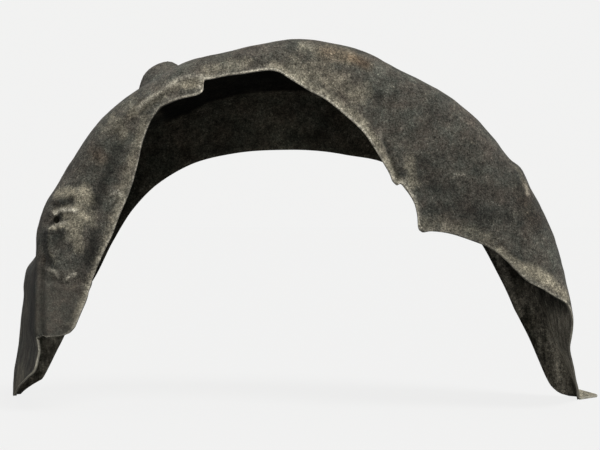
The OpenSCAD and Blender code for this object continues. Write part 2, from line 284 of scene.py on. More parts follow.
def hole_in_section():
    """Place of the hole along its section line, and that place as (y, radius)."""
    line = section(HOLE_ANGLE)
    after = int(np.argmax(line[:, 1] > HOLE_RADIUS))
    share = (HOLE_RADIUS - line[after - 1, 1]) / (line[after, 1] - line[after - 1, 1])
    return after - 1 + share, line[after - 1] + (line[after] - line[after - 1]) * share


HOLE_COL, HOLE_YR = hole_in_section()


def dome(a, y, r):
    away = np.hypot(arc_mm(a, DOME_ANGLE, r), y - INBOARD_Y - DOME_Y)
    return DOME_RISE * ease((DOME_REACH - away) / DOME_SIDE)


def crease(a, y, r):
    up = r - over(LIP_RADIUS, CREASE_LINE, a)
    across = ease(1 - np.where(up < 0, -up / CREASE_BELOW, up / CREASE_ABOVE))
    along = between(a, CREASE_START, CREASE_REAR_FADE, CREASE_END, CREASE_FRONT_FADE)
    return CREASE_RISE * across * (y <= 0) * along


def groove(a, y, r):
    across = bell(r - over(LIP_RADIUS, GROOVE_LINE, a), GROOVE_REACH)
    return -GROOVE_DEPTH * across * (y <= 0) * between(a, GROOVE_START, GROOVE_FADE, GROOVE_END, GROOVE_FADE)


def dimple_and_hood(a, y, r):
    arc = arc_mm(a, HOLE_ANGLE, r)
    along = np.hypot(y - HOLE_YR[0], r - HOLE_YR[1]) * np.where(r < HOLE_YR[1], -1, 1)
    away = np.maximum(np.hypot(arc, along), LEAST_AWAY)
    dimple = -DIMPLE_DEPTH * ease((DIMPLE_REACH - away) / (DIMPLE_REACH - SEAT_D / 2))
    lift = along * np.sin(np.radians(HOLE_ANGLE)) + arc * np.cos(np.radians(HOLE_ANGLE))
    return dimple + HOOD_RISE * bell(away - HOOD_UP, HOOD_REACH) * np.maximum(0, lift / away)


def pressed_relief(a, rings):
    """The dome, crease, groove, dimple and hood that the part's source has."""
    y, r = rings[..., 0], rings[..., 1]
    return dome(a, y, r) + crease(a, y, r) + groove(a, y, r) + dimple_and_hood(a, y, r)


def in_space(a, rings):
    t = np.radians(a)
    return np.stack([AXIS_X + rings[..., 1] * np.cos(t), rings[..., 0], rings[..., 1] * np.sin(t)], axis=2)


def grid_normals(p):
    """Outward normals of a grid of points, stations by section points."""
    n = np.cross(np.gradient(p, axis=1), np.gradient(p, axis=0))
    n /= np.maximum(np.linalg.norm(n, axis=2, keepdims=True), 1e-9)
    return n


def stroke(p, points, reach):
    """1 on a line drawn on the inboard side in the x-z plane, and 0 from reach away."""
    x, z = p[..., 0], p[..., 2]
    near = np.full(x.shape, np.inf)
    for (x0, z0), (x1, z1) in zip(points, points[1:]):
        dx, dz = x1 - x0, z1 - z0
        t = np.clip(((x - x0) * dx + (z - z0) * dz) / (dx * dx + dz * dz), 0, 1)
        near = np.minimum(near, np.hypot(x - x0 - t * dx, z - z0 - t * dz))
    return bell(near, reach)


def shift(p, scale, seed):
    """Smooth noise from -1 to 1 at each point, with features of about scale mm."""
    flat = p.reshape(-1, 3) / scale
    start = Vector([seed * step for step in SEED_SHIFT])
    return np.array([noise.noise(Vector(v) + start) for v in flat]).reshape(p.shape[:2])


# Lines pressed into the inboard side: points as (x, z) in mm, half width, height over the plain skin, and how
# far outboard of the inboard face they reach. That reach ends in a fade.
PRESSED_FADE = 20.0
PRESSED_LINES = [
    ("edge of the crease",
     [(-134, 447), (-152, 449), (-165, 446), (-176, 439), (-188, 431), (-209, 418)], 7, 1.8, 60),
    ("hollow under the crease", [(-172, 430), (-184, 421), (-196, 411), (-214, 398)], 10, -2.0, 60),
    ("second crease", [(-216, 415), (-232, 402), (-250, 384)], 12, 2.5, 60),
    ("hollow above the hood", [(-337, 278), (-326, 277), (-317, 278), (-310, 283)], 8, -3.0, 60),
    ("rim of the hood", [(-332, 269), (-320, 272), (-311, 272), (-303, 269)], 5, 2.2, 60),
    ("swelling beside the hole", [(-300, 262), (-294, 290)], 20, 3.5, 60),
    ("lower rim of the dimple", [(-342, 246), (-330, 246), (-317, 251)], 6, 1.8, 60),
    ("hollow below the dimple", [(-329, 238), (-328, 223)], 11, -3.5, 60),
    ("left rim of the hollow", [(-341, 240), (-341, 228), (-338, 214), (-329, 200)], 5, 1.8, 60),
    ("fold of the front leg", [(-355, 199), (-355, 152), (-356, 109)], 3, 1.2, 40),
    ("valley beside the fold", [(-348, 205), (-348, 152), (-348, 106)], 7, -4.5, 40),
    ("upper wrinkle", [(-343, 195), (-332, 191), (-326, 184)], 5, 1.8, 50),
    ("hollow between the wrinkles", [(-339, 178), (-326, 180), (-314, 174)], 8, -3.0, 50),
    ("lower wrinkle", [(-318, 179), (-310, 184), (-302, 187)], 5, 1.8, 50),
    ("small wrinkle", [(-302, 180), (-288, 172), (-276, 160)], 8, -2.0, 50),
    ("lip of the small slit", [(-257, 292), (-248, 296), (-242, 290)], 4, 2.2, 60),
    ("edge of the groove", [(-255, 345), (-268, 315), (-282, 280)], 7, 2.0, 60),
    ("fold of the rear flank", [(124, 452), (129, 405), (124, 365), (128, 323)], 9, 1.6, 60),
    ("band beside the rear edge", [(94, 378), (107, 345), (117, 312)], 9, 2.5, 60),
    ("line beside the band", [(105, 367), (114, 341), (123, 314)], 5, -2.5, 60),
]

# Marks in the same way: points, half width, strength, and how far outboard they reach, which ends in a fade.
MARK_FADE = 50.0
# Dust on the outer skin, and painted light: highlights on the rims of the hood and dimple, and a patch
# lightened under the hood
DUST_AND_LIGHT_MARKS = [
    ([(-136, 444), (-152, 444), (-166, 441), (-178, 434), (-192, 425), (-212, 412), (-232, 398)],
     12, 0.6, 70),
    ([(-156, 440), (-137, 442)], 12, 1.4, 70),
    ([(-292, 297), (-287, 286)], 17, 1.0, 70),
    ([(-306, 297), (-330, 294)], 13, 0.9, 70),
    ([(-300, 274), (-304, 256), (-305, 240)], 19, 0.8, 70),
    ([(-300, 268), (-290, 262)], 13, 0.9, 70),
    ([(-288, 272), (-282, 252)], 14, 0.4, 70),
    ([(-318, 264), (-305, 267)], 8, 0.9, 70),
    ([(-304, 291), (-300, 285)], 11, 0.9, 70),
    ([(-332, 271), (-320, 275), (-311, 275), (-303, 272)], 8, 0.7, 70),
    ([(-338, 248), (-328, 249), (-314, 256)], 7, 0.7, 70),
    ([(-341, 240), (-341, 228), (-338, 214), (-329, 200)], 5, 0.3, 70),
    ([(-211, 394), (-221, 365), (-230, 332), (-244, 285), (-258, 239), (-274, 195), (-290, 155),
      (-303, 123)], 14, 0.5, 70),
    ([(-231, 418), (-262, 384)], 30, 0.3, 70),
    ([(-254, 394), (-240, 372)], 16, 0.5, 70),
    ([(-130, 456), (-80, 468)], 18, 0.5, 70),
    ([(-10, 462), (40, 445), (70, 425)], 34, 0.5, 70),
    ([(0, 488), (60, 476)], 24, 0.4, 90),
    ([(-39, 462), (-6, 444), (28, 424), (54, 407), (77, 385), (94, 358), (109, 332), (123, 308)],
     15, 0.8, 70),
    ([(139, 340), (144, 306)], 15, 0.5, 70),
    ([(290, 195), (311, 186), (322, 179)], 16, 0.95, 70),
    ([(330, 174), (350, 156)], 13, 0.8, 70),
    ([(258, 216), (285, 196)], 14, 0.7, 70),
    ([(-304, 240), (-300, 222)], 15, 0.55, 70),
    ([(156, 252), (205, 250), (245, 230)], 22, 0.35, 70),
    ([(287, 332), (300, 300)], 7, 0.4, 70),
    ([(-395, 45), (-418, 8)], 26, 0.5, 400),
]
# Dirt on the outer skin, and painted shade in its hollows and folds and round the hole
DIRT_AND_SHADE_MARKS = [
    ([(-246, 354), (-258, 325), (-268, 303), (-276, 284)], 17, 0.85, 70),
    ([(-335, 277), (-326, 276), (-317, 278), (-311, 282)], 7, 0.6, 70),
    ([(-335, 257), (-326, 262)], 5, 1.0, 60),
    ([(-329, 238), (-328, 223)], 14, 0.7, 70),
    ([(-345, 238), (-343, 218), (-338, 202)], 12, 1.0, 70),
    ([(-279, 243), (-281, 221), (-286, 203)], 13, 0.85, 70),
    ([(-339, 178), (-326, 180), (-314, 175)], 6, 0.5, 70),
    ([(-349, 200), (-349, 152), (-349, 106)], 6, 0.9, 60),
    ([(-361, 196), (-362, 150), (-364, 100)], 8, 0.9, 90),
    ([(-366, 195), (-368, 150), (-370, 108)], 11, 0.85, 260),
    ([(167, 330), (194, 295), (214, 268)], 50, 0.5, 70),
    ([(205, 350), (240, 305)], 34, 0.4, 70),
    ([(268, 339), (295, 292), (315, 252)], 30, 0.4, 70),
    ([(105, 367), (114, 341), (124, 312)], 5, 0.7, 70),
    ([(116, 418), (120, 370)], 14, 0.4, 70),
]
# Rusty stains on the outer skin
RUST_MARKS = [
    ([(64, 475), (83, 466)], 14, 0.65, 90),
    ([(30, 482), (58, 478)], 20, 0.4, 90),
    ([(-282, 350), (-270, 338)], 16, 0.35, 90),
    ([(290, 300), (305, 262)], 24, 0.25, 90),
]
# Outer skin that is rubbed pale, and painted highlights on the ridges of the crease, hood, dimple, slit and
# wrinkles
RUBBED_AND_HIGHLIGHT_MARKS = [
    ([(-136, 449), (-152, 450), (-166, 447), (-176, 440), (-190, 430), (-209, 418), (-222, 406)],
     4.5, 0.9, 60),
    ([(-138, 445), (-152, 445), (-166, 443), (-178, 436)], 8, 0.4, 60),
    ([(-137, 447), (-139, 436)], 3.5, 2.0, 60),
    ([(-333, 268), (-328, 271), (-320, 272), (-311, 272), (-303, 270)], 4.5, 1.5, 70),
    ([(-338, 248), (-329, 252), (-318, 256)], 4.5, 0.55, 70),
    ([(-257, 292), (-248, 296), (-242, 290)], 2.6, 0.9, 60),
    ([(-343, 195), (-332, 191), (-326, 184)], 3.5, 0.8, 70),
    ([(-318, 179), (-310, 184), (-302, 187)], 3.5, 0.9, 70),
    ([(200, 320), (212, 319)], 4, 0.6, 70),
    ([(297, 303), (299, 294)], 5, 1.3, 90),
]
# Dust on the inner skin, and painted light on the inside of the rear leg where it lies in shade
INNER_DUST_AND_LIGHT_MARKS = [
    ([(366, 125), (374, 60), (382, 0)], 27, 1.0, 400),
    ([(330, 150), (352, 90), (364, 20)], 34, 0.35, 400),
    ([(268, 236), (290, 195), (318, 120)], 10, 0.5, 400),
    ([(-352, 120), (-372, 68), (-392, 35), (-408, 10)], 34, 0.3, 400),
]
# What the tab has all over
TAB_MARKS = {"coarse": 1.0, "dust_and_light": 0.8}

# Wear beside the inboard edge. The line gives angles with how many mm wide it is, and WORN how strong.
WEAR_LINE = [
    (0, 4), (18, 6), (30, 11), (40, 3), (50, 3), (54, 8), (58, 14), (88, 14), (94, 10), (104, 8), (108, 5),
    (128, 5), (136, 6), (142, 7), (152, 6), (160, 5), (170, 2), (175, 5), (180, 8),
]
WORN = 0.44
# The last few mm before the edge are barer, with a painted highlight added over the crown and at the tip of
# the front foot.
BARE, EDGE_HIGHLIGHT, BARE_AND_HIGHLIGHT_WIDTH = 0.5, 1.9, 4.0
HIGHLIGHT_CROWN = {"start": 54.0, "start_fade": 4.0, "end": 112.0, "end_fade": 6.0}
HIGHLIGHT_TIP_ANGLE, HIGHLIGHT_TIP_FADE = 171.0, 3.0
# Given to the points that aren't on the grid, so that they have no wear and no painted highlight
AWAY_FROM_EDGE = 1000.0
# Angles, with how much painted shade darkens the cut edge there
EDGE_DARK_LINE = [
    (0, 0.2), (5, 0.3), (12, 0.6), (18, 0.7), (30, 0.5), (55, 0.35), (58, 0), (66, 0), (69, 0.5), (76, 0.8),
    (86, 0.7), (90, 0.1), (108, 0.1), (112, 0.8), (155, 0.8), (163, 0.55), (168, 0.35), (171, 0), (180, 0),
]
# Painted shade on the inner side. The line gives angles with the y up to which the tread's underside is
# darkest. Past the end angle only a share of that is left.
ROOF_END_LINE = [(80, 95), (87, 94), (93, 91), (98, 89), (103, 88.5), (108, 91), (113, 92)]
ROOF_FADE, ROOF_END_ANGLE, ROOF_END_FADE, ROOF_END_LOSS = 5.0, 113.8, 1.6, 0.75
# A weaker dark band on the inner side, above the lip
BAND_DARKNESS, BAND_TOP, BAND_FADE, BAND_FOOT = 0.25, 30.0, 14.0, 4.0
# Both fade out down the legs.
UNDER_ARCH = {"start": 16.0, "start_fade": 12.0, "end": 166.0, "end_fade": 10.0}
# Streaks along the legs. On the outer skin they start some mm from the inboard face.
REAR_LEG_ANGLE, REAR_LEG_FADE, FRONT_LEG_ANGLE, FRONT_LEG_FADE = 32.0, 16.0, 148.0, 8.0
STREAK_START, STREAK_FADE = 14.0, 20.0
# Half of the grain is smoothed away on the front leg.
SMOOTH_SHARE, SMOOTH_ANGLE, SMOOTH_FADE = 0.5, 147.0, 6.0


def skin_points(a, rings):
    """Outer skin in space, with the moulded relief and the soft unevenness of the felt."""
    rings = rings + section_normals(rings) * pressed_relief(a, rings)[..., None]
    p = in_space(a, rings)
    n = grid_normals(p)
    depth = p[..., 1] - INBOARD_Y
    rise = np.zeros(depth.shape)
    for _, points, reach, height, deep in PRESSED_LINES:
        rise += height * stroke(p, points, reach) * ease((deep - depth) / PRESSED_FADE)
    last = rings.shape[1] - 1
    from_edge = np.minimum(np.arange(last + 1), last - np.arange(last + 1))[None, :]
    from_foot = np.minimum(a - REAR_ANGLE, FRONT_ANGLE - a)
    inside = ease(from_edge / UNEVEN_STEPS) * ease(from_foot / UNEVEN_ANGLE)
    rise += inside * sum(height * shift(p, size, seed) for size, height, seed in UNEVEN)
    return p + n * rise[..., None]


def flat_seat(p, row, col):
    """The skin with a flat round seat for the hole, and the seat's middle and axis."""
    i = int(col)
    middle = p[row, i] + (p[row, i + 1] - p[row, i]) * (col - i)
    axis = unit(grid_normals(p)[row - 2:row + 3, i - 1:i + 3].mean(axis=(0, 1)))
    from_middle = p - middle
    height = from_middle @ axis
    away = np.linalg.norm(from_middle - height[..., None] * axis, axis=2)
    in_reach = np.linalg.norm(from_middle, axis=2) < SEAT_D * SEAT_SPACE
    flat = in_reach * ease((SEAT_D / 2 + SEAT_RUN_OUT - away) / SEAT_FADE)
    return p - axis * (height * flat)[..., None], middle, axis


def felt_skin():
    """Outer and inner skin as grids of points, and the hole's row, middle and axis."""
    a = stations()[:, None]
    rings = np.stack([section(v) for v in a[:, 0]])
    row = int(np.argmin(np.abs(a[:, 0] - HOLE_ANGLE)))
    outer, middle, axis = flat_seat(skin_points(a, rings), row, HOLE_COL)
    n = grid_normals(outer)
    # At the feet the felt is cut off square, so there its thickness stays in the plane of the section.
    t = np.radians(a)[..., None]
    round_way = np.concatenate([-np.sin(t), 0 * t, np.cos(t)], axis=2)
    from_foot = np.minimum(a - REAR_ANGLE, FRONT_ANGLE - a)[..., None]
    square = ease((SQUARE_ANGLE - from_foot) / SQUARE_ANGLE)
    n = n - round_way * (n * round_way).sum(axis=2, keepdims=True) * square
    n /= np.linalg.norm(n, axis=2, keepdims=True)
    return outer, outer - n * FELT, row, middle, axis


outer, inner, hole_row, hole_middle, hole_axis = felt_skin()
rows, cols = outer.shape[:2]

# Which felt a face shows
OUTER_FACE, INNER_FACE, CUT_FACE = 0, 1, 2


class SkinMesh:
    """Points and faces of the skin as they are put together."""

    def __init__(self):
        self.points = [outer.reshape(-1, 3), inner.reshape(-1, 3)]
        self.rims = [np.zeros(rows * cols), np.ones(rows * cols)]
        self.count = 2 * rows * cols
        self.faces, self.kinds = [], []

    def add_points(self, points, rim=0.0):
        """Numbers of new points. Rim is their place across a cut edge, from the outer skin to the inner."""
        points = np.asarray(points)
        first = self.count
        self.points.append(points)
        self.rims.append(np.full(len(points), rim))
        self.count += len(points)
        return list(range(first, self.count))

    def face(self, corners, kind):
        self.faces.append(tuple(corners))
        self.kinds.append(kind)

    def strip(self, one, two, kind):
        """Quads between two closed rings of points."""
        for k in range(len(one)):
            n = (k + 1) % len(one)
            self.face((one[k], one[n], two[n], two[k]), kind)


def add_hole_patch(skin):
    """The seat and its round hole, in place of a block of the grid. Returns the block's rows and columns."""
    j0, j1 = hole_row - PATCH_ROWS, hole_row + PATCH_ROWS
    i0, i1 = int(HOLE_COL) - PATCH_COLS + 1, int(HOLE_COL) + PATCH_COLS + 1
    loop = ([(j, i0) for j in range(j0, j1)] + [(j1, i) for i in range(i0, i1)]
            + [(j, i1) for j in range(j1, j0, -1)] + [(j0, i) for i in range(i1, i0, -1)])
    border = np.array([outer[j, i] for j, i in loop])
    under = np.array([inner[j, i] for j, i in loop])
    height = (border - hole_middle) @ hole_axis
    level = border - hole_middle - height[:, None] * hole_axis
    way = level / np.linalg.norm(level, axis=1, keepdims=True)
    seat_r, hole_r = SEAT_D / 2, HOLE_D / 2

    def ring(radius, drop):
        return hole_middle + way * radius - hole_axis * drop

    def out_to(start, end, t):
        """Ring on the way from the seat to the block's border, which leaves the seat level."""
        step = end - start
        rise = (step @ hole_axis)[:, None] * hole_axis
        return start + (step - rise) * t + rise * ease(t)

    top = [[j * cols + i for j, i in loop]]
    for t in reversed(PATCH_RINGS):
        top.append(skin.add_points(out_to(ring(seat_r, 0), border, t)))
    for radius in (seat_r, hole_r + HOLE_ROUND):
        top.append(skin.add_points(ring(radius, 0)))
    wall = [top[-1]]
    for radius, drop in ((hole_r, HOLE_ROUND), (hole_r, SEAT_T - HOLE_ROUND), (hole_r + HOLE_ROUND, SEAT_T)):
        wall.append(skin.add_points(ring(radius, drop)))
    low = [wall[-1], skin.add_points(ring(seat_r, SEAT_T))]
    for t in PATCH_RINGS:
        low.append(skin.add_points(out_to(ring(seat_r, SEAT_T), under, t)))
    low.append([rows * cols + j * cols + i for j, i in loop])
    for rings, kind in ((top, OUTER_FACE), (wall, INNER_FACE), (low, INNER_FACE)):
        for one, two in zip(rings, rings[1:]):
            skin.strip(two, one, kind)
    return range(j0, j1), range(i0, i1)


def add_both_sides(skin, patch_rows, patch_cols):
    """Faces of the outer and the inner skin, apart from the block that the hole's patch fills."""
    under = rows * cols
    for j in range(rows - 1):
        for i in range(cols - 1):
            if j in patch_rows and i in patch_cols:
                continue
            p, q = j * cols + i, (j + 1) * cols + i
            skin.face((p, p + 1, q + 1, q), OUTER_FACE)
            skin.face((p + under, q + under, q + 1 + under, p + 1 + under), INNER_FACE)


def add_cut_edge(skin):
    """Rounded rim between the two skins. The border runs once round the sheet, so it is one closed strip."""
    border = ([j * cols for j in range(rows)] + [(rows - 1) * cols + i for i in range(1, cols)]
              + [j * cols + cols - 1 for j in range(rows - 2, -1, -1)] + [i for i in range(cols - 2, 0, -1)])
    above, below = outer.reshape(-1, 3)[border], inner.reshape(-1, 3)[border]
    out = np.cross(below - above, np.roll(above, -1, axis=0) - np.roll(above, 1, axis=0))
    out /= np.maximum(np.linalg.norm(out, axis=1, keepdims=True), 1e-9)
    rings = [border]
    for s in range(1, RIM_N + 1):
        t = s / (RIM_N + 1)
        rings.append(skin.add_points(above + (below - above) * t + out * RIM_OUT * np.sin(np.pi * t), t))
    rings.append([v + rows * cols for v in border])
    for one, two in zip(rings, rings[1:]):
        skin.strip(one, two, CUT_FACE)


def build_skin():
    """One closed mesh: outer skin, inner skin, the hole, and rounded cut edges between the skins."""
    skin = SkinMesh()
    patch_rows, patch_cols = add_hole_patch(skin)
    add_both_sides(skin, patch_rows, patch_cols)
    add_cut_edge(skin)
    mesh = bpy.data.meshes.new("liner_skin")
    points = np.concatenate(skin.points)
    mesh.from_pydata((points * MM).tolist(), [], skin.faces)
    mesh.polygons.foreach_set("material_index", skin.kinds)
    mesh.polygons.foreach_set("use_smooth", [True] * len(skin.faces))
    mesh.validate()
    paint(mesh, points, np.concatenate(skin.rims))
    holder = bpy.data.objects.new("liner_skin", mesh)
    bpy.context.scene.collection.objects.link(holder)
    return holder


def marked(p, marks):
    """Greatest strength that any of the marks has at each point."""
    depth = p[..., 1] - INBOARD_Y
    total = np.zeros(depth.shape)
    for points, reach, strength, deep in marks:
        total = np.maximum(total, strength * stroke(p, points, reach) * ease((deep - depth) / MARK_FADE))
    return total


def from_flank_edge():
    """Distance of each grid point from the inboard cut edge, along its section."""
    step = np.linalg.norm(np.diff(outer, axis=1), axis=2)
    return np.concatenate([np.zeros((rows, 1)), np.cumsum(step, axis=1)], axis=1).ravel()


def inner_darkness(points, angle):
    """Painted shade on the inner skin under the tread, and a darker band above the lip."""
    roof = ease((at(ROOF_END_LINE, angle) - points[:, 1]) / ROOF_FADE)
    roof *= 1 - ROOF_END_LOSS * ease((angle - ROOF_END_ANGLE) / ROOF_END_FADE)
    lip_radius = over(LIP_RADIUS, LIP_LINE, np.clip(angle, 0, 180))
    over_lip = np.hypot(points[:, 0] - AXIS_X, points[:, 2]) - lip_radius
    band = BAND_DARKNESS * ease((BAND_TOP - over_lip) / BAND_FADE) * ease(over_lip / BAND_FOOT)
    return np.maximum(roof, band) * between(angle, **UNDER_ARCH)


def edge_wear_and_highlight(angle, from_edge):
    """Wear of the felt beside the inboard edge, with a painted highlight along the edge's corner over the
    crown and at the front tip.
    """
    crown_or_tip = np.maximum(between(angle, **HIGHLIGHT_CROWN), ease((angle - HIGHLIGHT_TIP_ANGLE) / HIGHLIGHT_TIP_FADE))
    bare_and_highlight = BARE + EDGE_HIGHLIGHT * crown_or_tip
    return WORN * ease(1 - from_edge / at(WEAR_LINE, angle)) + bare_and_highlight * ease(1 - from_edge / BARE_AND_HIGHLIGHT_WIDTH)


def paint(mesh, points, rims):
    """What the material has to know at each point of the skin."""
    grid = rows * cols
    rest = len(points) - 2 * grid
    angle = np.degrees(np.arctan2(points[:, 2], points[:, 0] - AXIS_X))
    depth = points[:, 1] - INBOARD_Y
    is_inner = np.concatenate([np.zeros(grid), np.ones(grid), np.zeros(rest)])
    from_edge = np.concatenate([from_flank_edge(), from_flank_edge(), np.full(rest, AWAY_FROM_EDGE)])
    legs = np.maximum(ease((REAR_LEG_ANGLE - angle) / REAR_LEG_FADE),
                      ease((angle - FRONT_LEG_ANGLE) / FRONT_LEG_FADE))
    # Rubbed wear, and painted highlights on ridges
    rubbed_and_highlit = np.where(is_inner, 0, marked(points, RUBBED_AND_HIGHLIGHT_MARKS))
    # Dust with painted light, dirt with painted shade, and wear with painted highlights
    values = {
        "dust_and_light": np.where(is_inner, marked(points, INNER_DUST_AND_LIGHT_MARKS), marked(points, DUST_AND_LIGHT_MARKS)),
        "dark": np.where(is_inner, inner_darkness(points, angle), marked(points, DIRT_AND_SHADE_MARKS)),
        "edge_dark": at(EDGE_DARK_LINE, np.abs(angle)),
        "rust": np.where(is_inner, 0, marked(points, RUST_MARKS)),
        "worn_and_highlit": np.maximum(edge_wear_and_highlight(angle, from_edge), rubbed_and_highlit),
        "streak": legs * np.where(is_inner, 1, ease((depth - STREAK_START) / STREAK_FADE)),
        "coarse": 1 - SMOOTH_SHARE * ease((angle - SMOOTH_ANGLE) / SMOOTH_FADE),
        "rim": rims,
    }
    for name, value in values.items():
        layer = mesh.attributes.new(name, "FLOAT", "POINT")
        layer.data.foreach_set("value", value.astype(np.float32))


def add_tab(skin):
    """The flat tab turned out at the rear foot, from the inboard corner of the foot's cut end."""
    outline = [
        (-FELT, 0), (0, 0), (TAB_OUT - TAB_CORNER, TAB_L - 3 * TAB_CORNER), (TAB_OUT, TAB_L - TAB_CORNER),
        (TAB_OUT - TAB_CORNER / 2, TAB_L), (-3 * FELT, TAB_L),
    ]
    work = bmesh.new()
    work.from_mesh(skin.data)
    turn = Euler(np.radians(TAB_TURN), "XYZ").to_matrix()
    root = Vector(outer[0, 0])
    middle = np.mean(outline, axis=0)
    rings = []
    for height, shrink in ((0, TAB_ROUND), (TAB_ROUND, 0), (FELT - TAB_ROUND, 0), (FELT, TAB_ROUND)):
        ring = []
        for corner in outline:
            inward = unit(middle - corner) * shrink
            place = root + turn @ Vector((corner[0] + inward[0], corner[1] + inward[1], height))
            ring.append(work.verts.new(place * MM))
        rings.append(ring)
    for name, value in TAB_MARKS.items():
        layer = work.verts.layers.float[name]
        for vertex in sum(rings, []):
            vertex[layer] = value
    n = len(outline)
    for low, high in zip(rings, rings[1:]):
        for v in range(n):
            side = work.faces.new((low[v], low[(v + 1) % n], high[(v + 1) % n], high[v]))
            side.material_index = CUT_FACE
    work.faces.new(rings[-1])
    work.faces.new(rings[0][::-1])
    work.to_mesh(skin.data)
    work.free()


skin = build_skin()
add_tab(skin)

# Noise of the felt's materials, as scale, detail and roughness. The scale is about the features in a metre.
BLOTCHES = (9, 5, 0.65)
TINTS = (26, 5, 0.75)
CLOUDS = (40, 3, 0.7)
FLUFF = (60, 6, 0.8)
CLUMPS = (85, 5, 0.8)
STREAKS = (120, 4, 0.75)
SPECKS = (230, 3, 0.8)
BUMPS = (330, 3, 0.75)
GRAINS = (430, 3, 0.85)
FIBRES = (620, 2, 0.7)
EDGE_PATCHES = (40, 5, 0.7)
# The streaks are drawn out upwards.
STREAK_STRETCH = (1, 1, 0.06)
COOL_TINT, WARM_TINT = (0.93, 1.0, 0.94), (1.08, 0.98, 0.90)
RUST_TINT = (1.0, 0.72, 0.52, 1)
EDGE_SHADE = (0.22, 0.22, 0.22, 1)
ROUGHNESS, SHEEN_ROUGHNESS = 0.95, 0.6
BUMP_STRENGTH, BUMP_HEIGHT = 0.9, 0.0016
EDGE_SHEEN = 0.08


def grey(v):
    return (v, v, v)


class Felt:
    """A material with the nodes that felt is mixed from."""

    def __init__(self, name):
        self.material = bpy.data.materials.new(name)
        self.material.use_nodes = True
        self.nodes, self.links = self.material.node_tree.nodes, self.material.node_tree.links
        self.principled = self.nodes["Principled BSDF"]
        self.place = self.nodes.new("ShaderNodeTexCoord").outputs["Object"]

    def put(self, socket, value):
        if isinstance(value, (int, float, tuple)):
            socket.default_value = value
        else:
            self.links.new(value, socket)

    def noise_at(self, scale, detail, rough, stretch=None):
        place = self.place
        if stretch:
            stretched = self.nodes.new("ShaderNodeMapping")
            stretched.inputs["Scale"].default_value = stretch
            self.links.new(place, stretched.inputs["Vector"])
            place = stretched.outputs["Vector"]
        n = self.nodes.new("ShaderNodeTexNoise")
        n.inputs["Scale"].default_value = scale
        n.inputs["Detail"].default_value = detail
        n.inputs["Roughness"].default_value = rough
        self.links.new(place, n.inputs["Vector"])
        return n.outputs["Fac"]

    def ramp(self, fac, stops):
        r = self.nodes.new("ShaderNodeValToRGB")
        elements = r.color_ramp.elements
        for element, (position, color) in zip(elements, stops):
            element.position, element.color = position, (*color, 1)
        self.links.new(fac, r.inputs["Fac"])
        return r.outputs["Color"]

    def mix(self, mode, fac, one, two):
        m = self.nodes.new("ShaderNodeMix")
        m.data_type, m.blend_type = "RGBA", mode
        for socket, value in ((m.inputs["Factor"], fac), (m.inputs[6], one), (m.inputs[7], two)):
            self.put(socket, value)
        return m.outputs[2]

    def mark(self, name):
        m = self.nodes.new("ShaderNodeAttribute")
        m.attribute_name = name
        return m.outputs["Fac"]

    def math(self, operation, one, two):
        m = self.nodes.new("ShaderNodeMath")
        m.operation = operation
        self.put(m.inputs[0], one)
        self.put(m.inputs[1], two)
        return m.outputs[0]

    def dust_and_light_cover(self, strength):
        """Dust and painted light with an irregular border: more of the felt is covered where the mark is
        stronger.
        """
        fluff = self.math("MULTIPLY", self.noise_at(*FLUFF), 0.8)
        total = self.math("ADD", self.math("MULTIPLY", strength, 0.5), fluff)
        return self.ramp(total, [(0.46, grey(0)), (0.98, grey(1))])

    def finish(self, color, sheen):
        """Dull fibrous surface of a colour."""
        shader = self.principled.inputs
        self.links.new(color, shader["Base Color"])
        shader["Roughness"].default_value = ROUGHNESS
        shader["Specular IOR Level"].default_value = sheen
        shader["Sheen Weight"].default_value = sheen
        shader["Sheen Roughness"].default_value = SHEEN_ROUGHNESS
        bump = self.nodes.new("ShaderNodeBump")
        bump.inputs["Strength"].default_value = BUMP_STRENGTH
        bump.inputs["Distance"].default_value = BUMP_HEIGHT
        self.links.new(self.noise_at(*BUMPS), bump.inputs["Height"])
        self.links.new(bump.outputs["Normal"], shader["Normal"])
        return self.material


